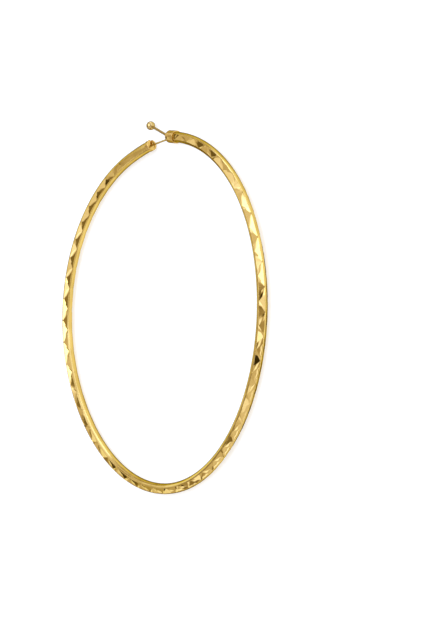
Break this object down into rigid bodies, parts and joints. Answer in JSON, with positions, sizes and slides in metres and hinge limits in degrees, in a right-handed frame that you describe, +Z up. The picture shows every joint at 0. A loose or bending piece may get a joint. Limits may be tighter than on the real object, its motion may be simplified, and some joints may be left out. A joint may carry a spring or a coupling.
{
  "type": "hoop earring",
  "caption": "Large tube hoop earring with triangular cuts on its front and back, and a hinged lever with an ear wire and a ball.",
  "frame": {"origin": "bottom centre of the bounding box of the earring as it lies on its side", "axes": "+Z up, along the hoop's axis; +Y from the hoop's middle towards the ear gap; +X towards the hinged side"},
  "size_m": [0.1, 0.1046, 0.0036],
  "materials": {
    "hoop_gold": "gold coloured metal, mirror-bright cuts on a satin tube",
    "cap_gold": "polished gold coloured metal",
    "pin_metal": "dull gold coloured metal",
    "lever_gold": "polished gold coloured wire and ball"
  },
  "bodies": {
    "hoop": {"hoop_tube": "hoop_gold", "wire_cap": "cap_gold", "hinge_cap": "cap_gold", "hinge_pin": "pin_metal"},
    "lever": {"ear_lever": "lever_gold"}
  },
  "joints": [
    {"name": "lever_hinge", "type": "hinge", "parent": "hoop", "child": "lever", "pos_m": [0.00549, 0.04668, 0.0018], "axis": [0, 0, 1], "range_deg": [-70, 0]}
  ]
}
